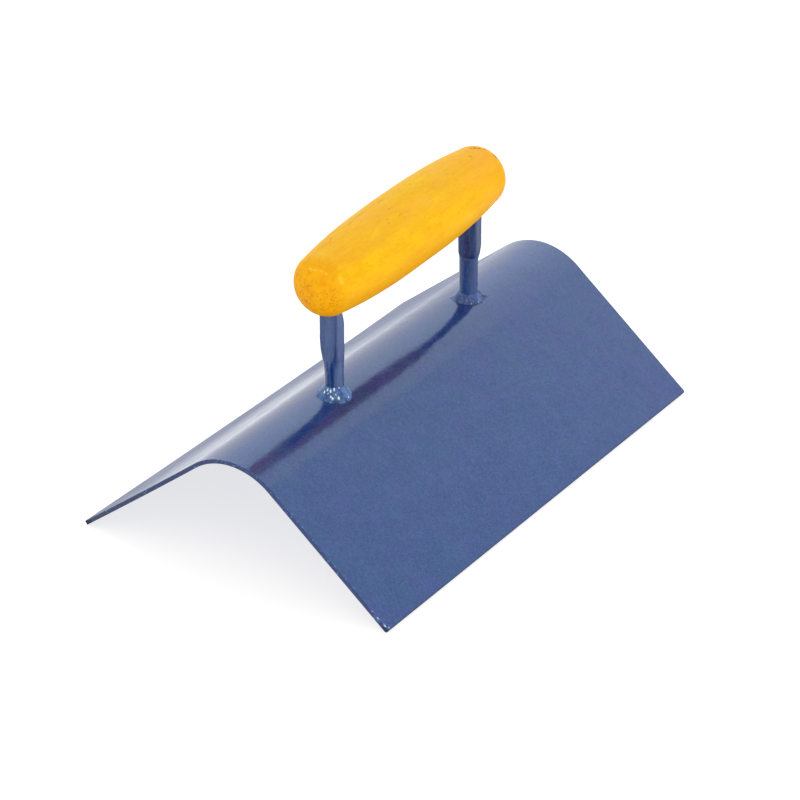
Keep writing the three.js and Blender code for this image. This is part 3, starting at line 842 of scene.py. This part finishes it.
dress(make_blade(), blade_mat, "blade")
dress(make_post("front_post_forged", FRONT, 1.0, 0.03, 9.0, front_look, 0.75), front_mat, "front_post")
dress(make_post("rear_post_forged", REAR, 4.0, 0.34, 2.6, rear_look), rear_mat, "rear_post")
dress(make_weld("front_weld_bead", FRONT, 2.0, 5.7,
                [(0, 8.0), (60, 8.2), (137, 8.4), (180, 8.3), (213, 8.3), (255, 7.9), (301, 7.7)],
                [(164, 0.64, 1.1), (178, 0.80, 0.9), (196, 0.76, 1.1), (214, 0.88, 0.9), (200, 0.48, 1.0), (208, 0.40, 1.2),
                 (232, 0.40, 1.25), (280, 0.24, 0.9), (244, 0.96, 0.7), (186, 0.62, 0.7), (222, 0.62, 0.6)],
                [(220, 0.0, 10), (150, 0.0, 8), (262, 0.1, 6)], 0.34),
      blue_paint("front_weld_lacquer", "front_weld"), "front_weld")
dress(make_weld("rear_weld_bead", REAR, 6.0, 5.3,
                [(0, 8.0), (60, 8.0), (112, 8.6), (150, 6.8), (190, 6.0), (228, 5.9), (270, 6.4), (300, 7.0), (316, 8.6),
                 (325, 10.3), (334, 8.9), (350, 8.1)],
                [(228, 0.20, 0.5), (268, 0.24, 0.7), (284, 0.34, 0.6), (150, 0.10, 0.4), (206, 0.50, 0.35)],
                [(320, 0.35, 7), (322, 0.8, 8), (250, 0.0, 18), (285, 0.05, 10)], 0.30),
      blue_paint("rear_weld_lacquer", "rear_weld"), "rear_weld")
dress(make_handle(), handle_lacquer(), "handle")
glue = adhesive()
for node in ("front_tang_adhesive", "rear_tang_adhesive"):
    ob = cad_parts[node]
    ob.data.materials.clear()
    ob.data.materials.append(glue)

# ------------------------------------------------------------------ floor and light
bm = bmesh.new()
bmesh.ops.create_grid(bm, x_segments=8, y_segments=8, size=12)
me = bpy.data.meshes.new("floor")
bm.to_mesh(me)
bm.free()
floor = bpy.data.objects.new("floor", me)
me.materials.append(floor_material())
bpy.context.scene.collection.objects.link(floor)


def softbox(name, place, aim, size, power, color=(1, 1, 1)):
    data = bpy.data.lights.new(name, "AREA")
    data.shape, data.size, data.size_y = "RECTANGLE", size[0], size[1]
    data.energy, data.color = power, color
    ob = bpy.data.objects.new(name, data)
    place, aim = Vector(place), Vector(aim)
    ob.matrix_world = Matrix.Translation(place) @ (place - aim).to_track_quat("Z", "Y").to_matrix().to_4x4()
    ob.visible_camera = False
    bpy.context.scene.collection.objects.link(ob)
    return ob


def aimed(az, el, dist, at):
    a, e = math.radians(az), math.radians(el)
    return (at[0] + dist * math.cos(e) * math.cos(a), at[1] + dist * math.cos(e) * math.sin(a), at[2] + dist * math.sin(e))


softbox("right_fill", (-0.9, -2.1, 1.2), (0, 0, 0.08), (1.6, 1.2), 5, (1.0, 0.97, 0.93))
# small warm lamps mirrored by the clear coat on the rounded end of the handle: four in an arc and one to the side.
# They light the handle only, so that they put no stray glints on the posts and welds.
END = (-0.064, -0.006, 0.122)
grip_only = bpy.data.collections.new("lit_by_end_lamps")
grip_only.objects.link(bpy.data.objects["handle_grip"])
lamps = [softbox("end_arc_%d" % (k + 1), aimed(az, el, 1.6, END), END, (0.24, 0.24), 6.0, (0.90, 1.0, 0.42))
         for k, (az, el) in enumerate(((130, 28), (150, 39), (172, 45), (196, 45)))]
lamps.append(softbox("end_side", aimed(-97, 22, 1.6, END), END, (0.50, 0.75), 25.0, (0.90, 1.0, 0.42)))
for lamp in lamps:
    lamp.visible_diffuse = False
    lamp.light_linking.receiver_collection = grip_only



def studio_world():
    """Soft white tent: brighter and cooler beyond the +X end, warmer and dimmer behind the camera."""
    world = bpy.data.worlds.new("studio")
    world.use_nodes = True
    tree = world.node_tree
    new = tree.nodes.new
    direction = new("ShaderNodeTexCoord").outputs["Generated"]
    part = new("ShaderNodeSeparateXYZ")
    tree.links.new(direction, part.inputs[0])
    height = new("ShaderNodeMapRange")
    tree.links.new(part.outputs["Z"], height.inputs["Value"])
    for key, value in (("From Min", -0.02), ("From Max", 1.0), ("To Min", 0.0), ("To Max", 1.0)):
        height.inputs[key].default_value = value

    def ramp(stops):
        nd = new("ShaderNodeValToRGB")
        el = nd.color_ramp.elements
        while len(el) < len(stops):
            el.new(0.5)
        for e, (z, col) in zip(el, stops):
            e.position = (z + 0.02) / 1.02
            e.color = (*(c / 3 for c in col), 1)
        tree.links.new(height.outputs["Result"], nd.inputs["Fac"])
        return nd.outputs["Color"]

    key = ramp([(-0.02, (1.0, 1.0, 0.95)), (0.0, (1.35, 1.36, 1.22)), (0.2, (1.42, 1.50, 1.60)), (0.42, (1.57, 1.80, 2.08)),
                (0.55, (1.72, 2.10, 2.42)), (0.66, (1.85, 2.20, 2.6)), (0.80, (1.1, 1.2, 1.3)), (1.0, (0.66, 0.66, 0.66))])
    cool = ramp([(-0.02, (1.0, 1.1, 1.2)), (0.42, (1.02, 1.40, 1.95)), (0.60, (1.14, 1.68, 2.28)), (0.85, (0.8, 0.9, 1.05)),
                 (1.0, (0.66, 0.66, 0.66))])
    fill = ramp([(-0.02, (1.05, 1.00, 0.90)), (0.5, (1.06, 0.99, 0.86)), (0.8, (0.85, 0.80, 0.72)), (1.0, (0.66, 0.64, 0.62))])
    flat = new("ShaderNodeVectorMath")
    flat.operation = "MULTIPLY"
    flat.inputs[1].default_value = (1, 1, 0)
    tree.links.new(direction, flat.inputs[0])
    unit = new("ShaderNodeVectorMath")
    unit.operation = "NORMALIZE"
    tree.links.new(flat.outputs[0], unit.inputs[0])
    dot = new("ShaderNodeVectorMath")
    dot.operation = "DOT_PRODUCT"
    dot.inputs[1].default_value = (math.cos(math.radians(18)), math.sin(math.radians(18)), 0)
    tree.links.new(unit.outputs[0], dot.inputs[0])
    look = fill
    for lo, hi, colour in ((0.15, 0.58, cool), (0.684, 0.728, key)):
        side = new("ShaderNodeMapRange")
        side.interpolation_type = "SMOOTHSTEP"
        tree.links.new(dot.outputs["Value"], side.inputs["Value"])
        side.inputs["From Min"].default_value, side.inputs["From Max"].default_value = lo, hi
        blend = new("ShaderNodeMix")
        blend.data_type = "RGBA"
        tree.links.new(side.outputs["Result"], blend.inputs[0])
        tree.links.new(look, blend.inputs[6])
        tree.links.new(colour, blend.inputs[7])
        look = blend.outputs[2]
    bg = tree.nodes["Background"]
    tree.links.new(look, bg.inputs["Color"])
    bg.inputs["Strength"].default_value = 3.0
    return world


scene = bpy.context.scene
scene.world = studio_world()
scene.view_settings.view_transform = "Standard"
scene.view_settings.look = "None"
scene.view_settings.exposure = 0.0
scene.view_settings.gamma = 1.0
